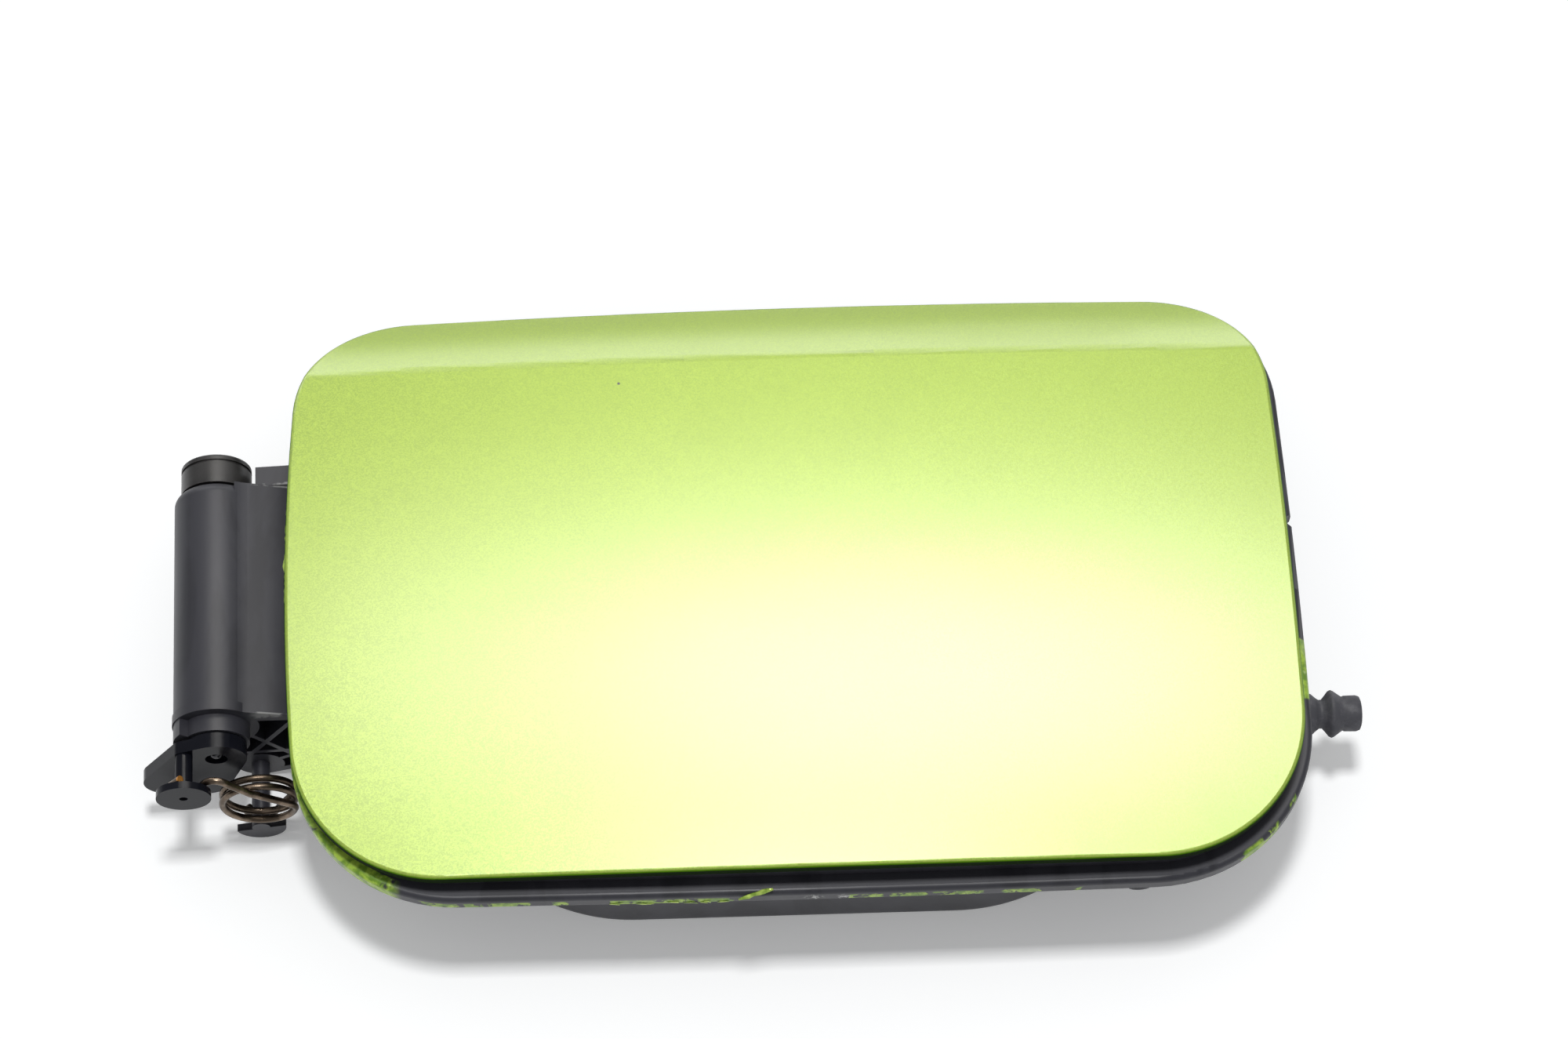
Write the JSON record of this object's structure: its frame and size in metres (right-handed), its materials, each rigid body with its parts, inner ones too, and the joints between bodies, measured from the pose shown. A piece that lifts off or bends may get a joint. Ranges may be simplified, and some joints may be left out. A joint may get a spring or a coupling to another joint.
{
  "type": "car fuel door",
  "caption": "Car fuel door: crowned painted skin on a moulded carrier with a rim and dished back, hinge barrel, spring crank and rubber buffer.",
  "frame": {"origin": "middle of the hinge shaft's far journal, on the hinge axis", "axes": "+X from the hinge to the free edge, +Y along the hinge away from the crank, +Z out of the painted skin"},
  "size_m": [0.2517, 0.1416, 0.043],
  "materials": {
    "lime_paint": "metallic gloss",
    "carrier_plastic": "satin",
    "shaft_plastic": "satin",
    "crank_plastic": "gloss",
    "pin_steel": "bright",
    "spring_wire": "bronze coated",
    "buffer_rubber": "matte"
  },
  "bodies": {
    "hinge_mount": {"hinge_shaft": "shaft_plastic", "crank_lever": "crank_plastic", "crank_pin": "pin_steel"},
    "door": {"door_skin": "lime_paint", "carrier": "carrier_plastic", "rubber_buffer": "buffer_rubber"},
    "spring": {"overcentre_spring": "spring_wire"}
  },
  "joints": [
    {"name": "door_hinge", "type": "hinge", "parent": "hinge_mount", "child": "door", "pos_m": [0, -0.0301, 0], "axis": [0, -1, 0], "range_deg": [0, 105], "deforming": ["overcentre_spring"]},
    {"name": "spring_swing", "type": "hinge", "parent": "hinge_mount", "child": "spring", "pos_m": [-0.00631, -0.0706, 0.00218], "axis": [0, -1, 0], "range_deg": [0, 81]}
  ],
  "couplings": [
    {"joint": "spring_swing", "follows": "door_hinge", "ratio": 0.7713}
  ]
}
